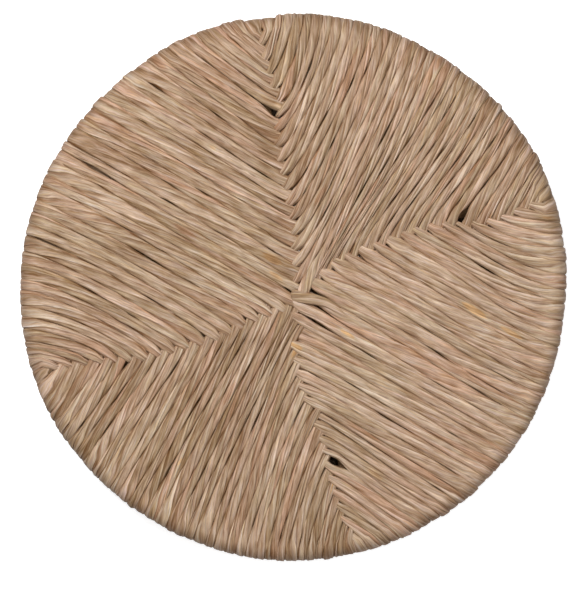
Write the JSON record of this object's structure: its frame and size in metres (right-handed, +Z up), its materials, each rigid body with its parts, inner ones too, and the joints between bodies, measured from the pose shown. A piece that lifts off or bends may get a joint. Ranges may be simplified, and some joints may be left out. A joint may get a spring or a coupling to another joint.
{
  "type": "round rush seat pad",
  "caption": "Round drop-in seat pad of twisted rush cord woven in a four-corner pattern over a hidden wooden hoop; lies on a chair or stool frame and carries a sitter.",
  "frame": {"origin": "middle of the round seat, on the plane it rests on", "axes": "+Z up through the seat's thickness, out of the sitting side; +X and +Y in the plane of the seat, the weave's seams at about 18.5, 96.8, 197.7 and 283 degrees from +X"},
  "size_m": [0.3598, 0.3599, 0.0355],
  "materials": {
    "rush_northeast": "matte twisted rush cord",
    "rush_northwest": "matte twisted rush cord",
    "rush_southwest": "matte twisted rush cord",
    "rush_southeast": "matte twisted rush cord",
    "inner_rush": "matte twisted rush cord",
    "dry_stuffing": "loose dry leaf",
    "beech": "bare planed wood",
    "dowel_wood": "bare turned wood",
    "tack_steel": "blued tack"
  },
  "bodies": {
    "root": {"hoop_arc_1": "beech", "hoop_arc_2": "beech", "hoop_arc_3": "beech", "hoop_arc_4": "beech", "joint_dowel_1_inner": "dowel_wood", "joint_dowel_1_outer": "dowel_wood", "joint_dowel_2_inner": "dowel_wood", "joint_dowel_2_outer": "dowel_wood", "joint_dowel_3_inner": "dowel_wood", "joint_dowel_3_outer": "dowel_wood", "joint_dowel_4_inner": "dowel_wood", "joint_dowel_4_outer": "dowel_wood", "rush_band_northeast_1": "rush_northeast", "rush_band_northeast_2": "rush_northeast", "rush_band_northeast_3": "rush_northeast", "rush_band_northeast_4": "rush_northeast", "rush_band_northeast_5": "rush_northeast", "rush_band_northeast_6": "rush_northeast", "rush_band_northwest_1": "rush_northwest", "rush_band_northwest_2": "rush_northwest", "rush_band_northwest_3": "rush_northwest", "rush_band_northwest_4": "rush_northwest", "rush_band_northwest_5": "rush_northwest", "rush_band_northwest_6": "rush_northwest", "rush_band_southwest_1": "rush_southwest", "rush_band_southwest_2": "rush_southwest", "rush_band_southwest_3": "rush_southwest", "rush_band_southwest_4": "rush_southwest", "rush_band_southwest_5": "rush_southwest", "rush_band_southwest_6": "rush_southwest", "rush_band_southeast_1": "rush_southeast", "rush_band_southeast_2": "rush_southeast", "rush_band_southeast_3": "rush_southeast", "rush_band_southeast_4": "rush_southeast", "rush_band_southeast_5": "rush_southeast", "rush_band_southeast_6": "rush_southeast", "lower_stuffing_northeast": "dry_stuffing", "crossing_cords_northeast": "inner_rush", "upper_stuffing_northeast": "dry_stuffing", "lower_stuffing_northwest": "dry_stuffing", "crossing_cords_northwest": "inner_rush", "upper_stuffing_northwest": "dry_stuffing", "lower_stuffing_southwest": "dry_stuffing", "crossing_cords_southwest": "inner_rush", "upper_stuffing_southwest": "dry_stuffing", "lower_stuffing_southeast": "dry_stuffing", "crossing_cords_southeast": "inner_rush", "upper_stuffing_southeast": "dry_stuffing", "finishing_loop": "rush_southeast", "tie_off_knot": "inner_rush", "strand_tack": "tack_steel"}
  },
  "joints": []
}
